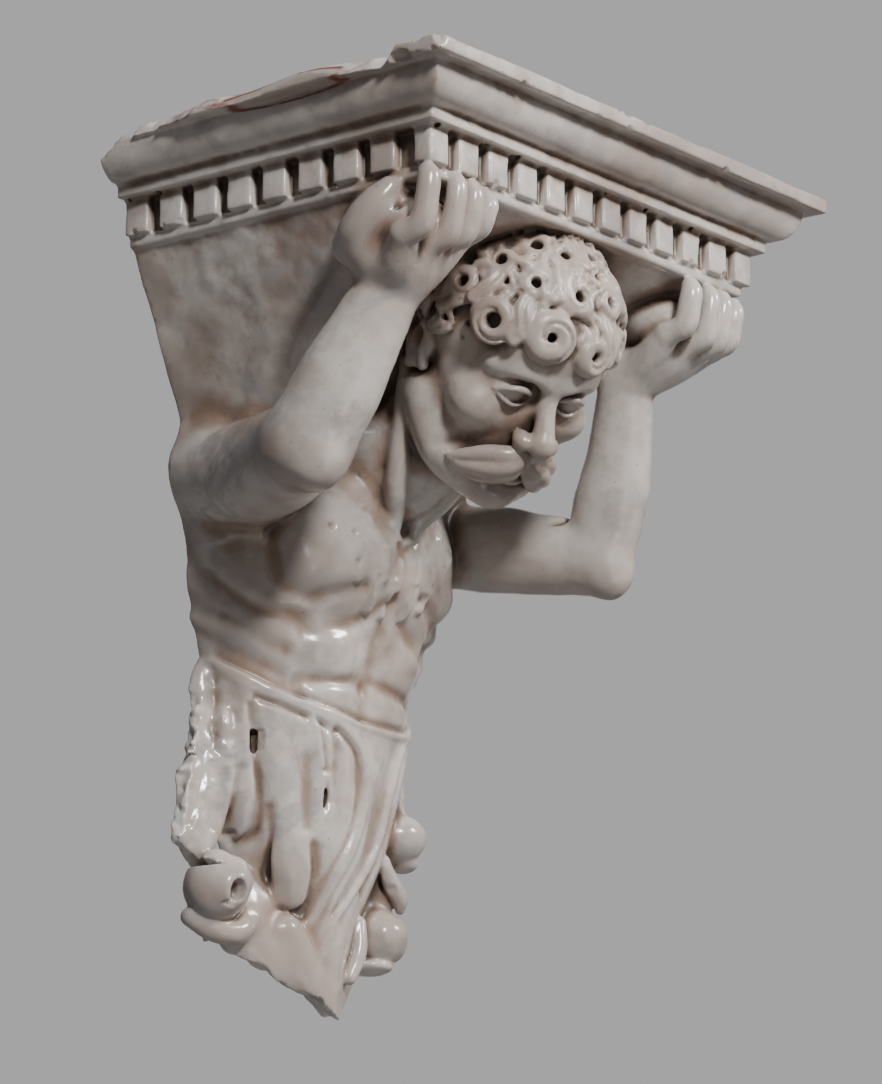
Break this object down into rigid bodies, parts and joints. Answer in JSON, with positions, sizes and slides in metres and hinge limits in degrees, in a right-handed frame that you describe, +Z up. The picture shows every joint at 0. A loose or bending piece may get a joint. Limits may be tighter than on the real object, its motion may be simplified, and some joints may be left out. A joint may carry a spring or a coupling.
{
  "type": "stone corbel",
  "caption": "Marble wall corbel: a dentilled shelf held up by a bowed, moustached bearer whose body ends in a broken acanthus pendant.",
  "frame": {"origin": "on the wall face, on the centre line, level with the underside of the shelf", "axes": "+Y into the wall, +Z up, +X to the right of someone facing the wall; the front is -Y"},
  "size_m": [0.34, 0.235, 0.449],
  "materials": {
    "marble": "polished"
  },
  "bodies": {
    "root": {"corbel": "marble"}
  },
  "joints": []
}
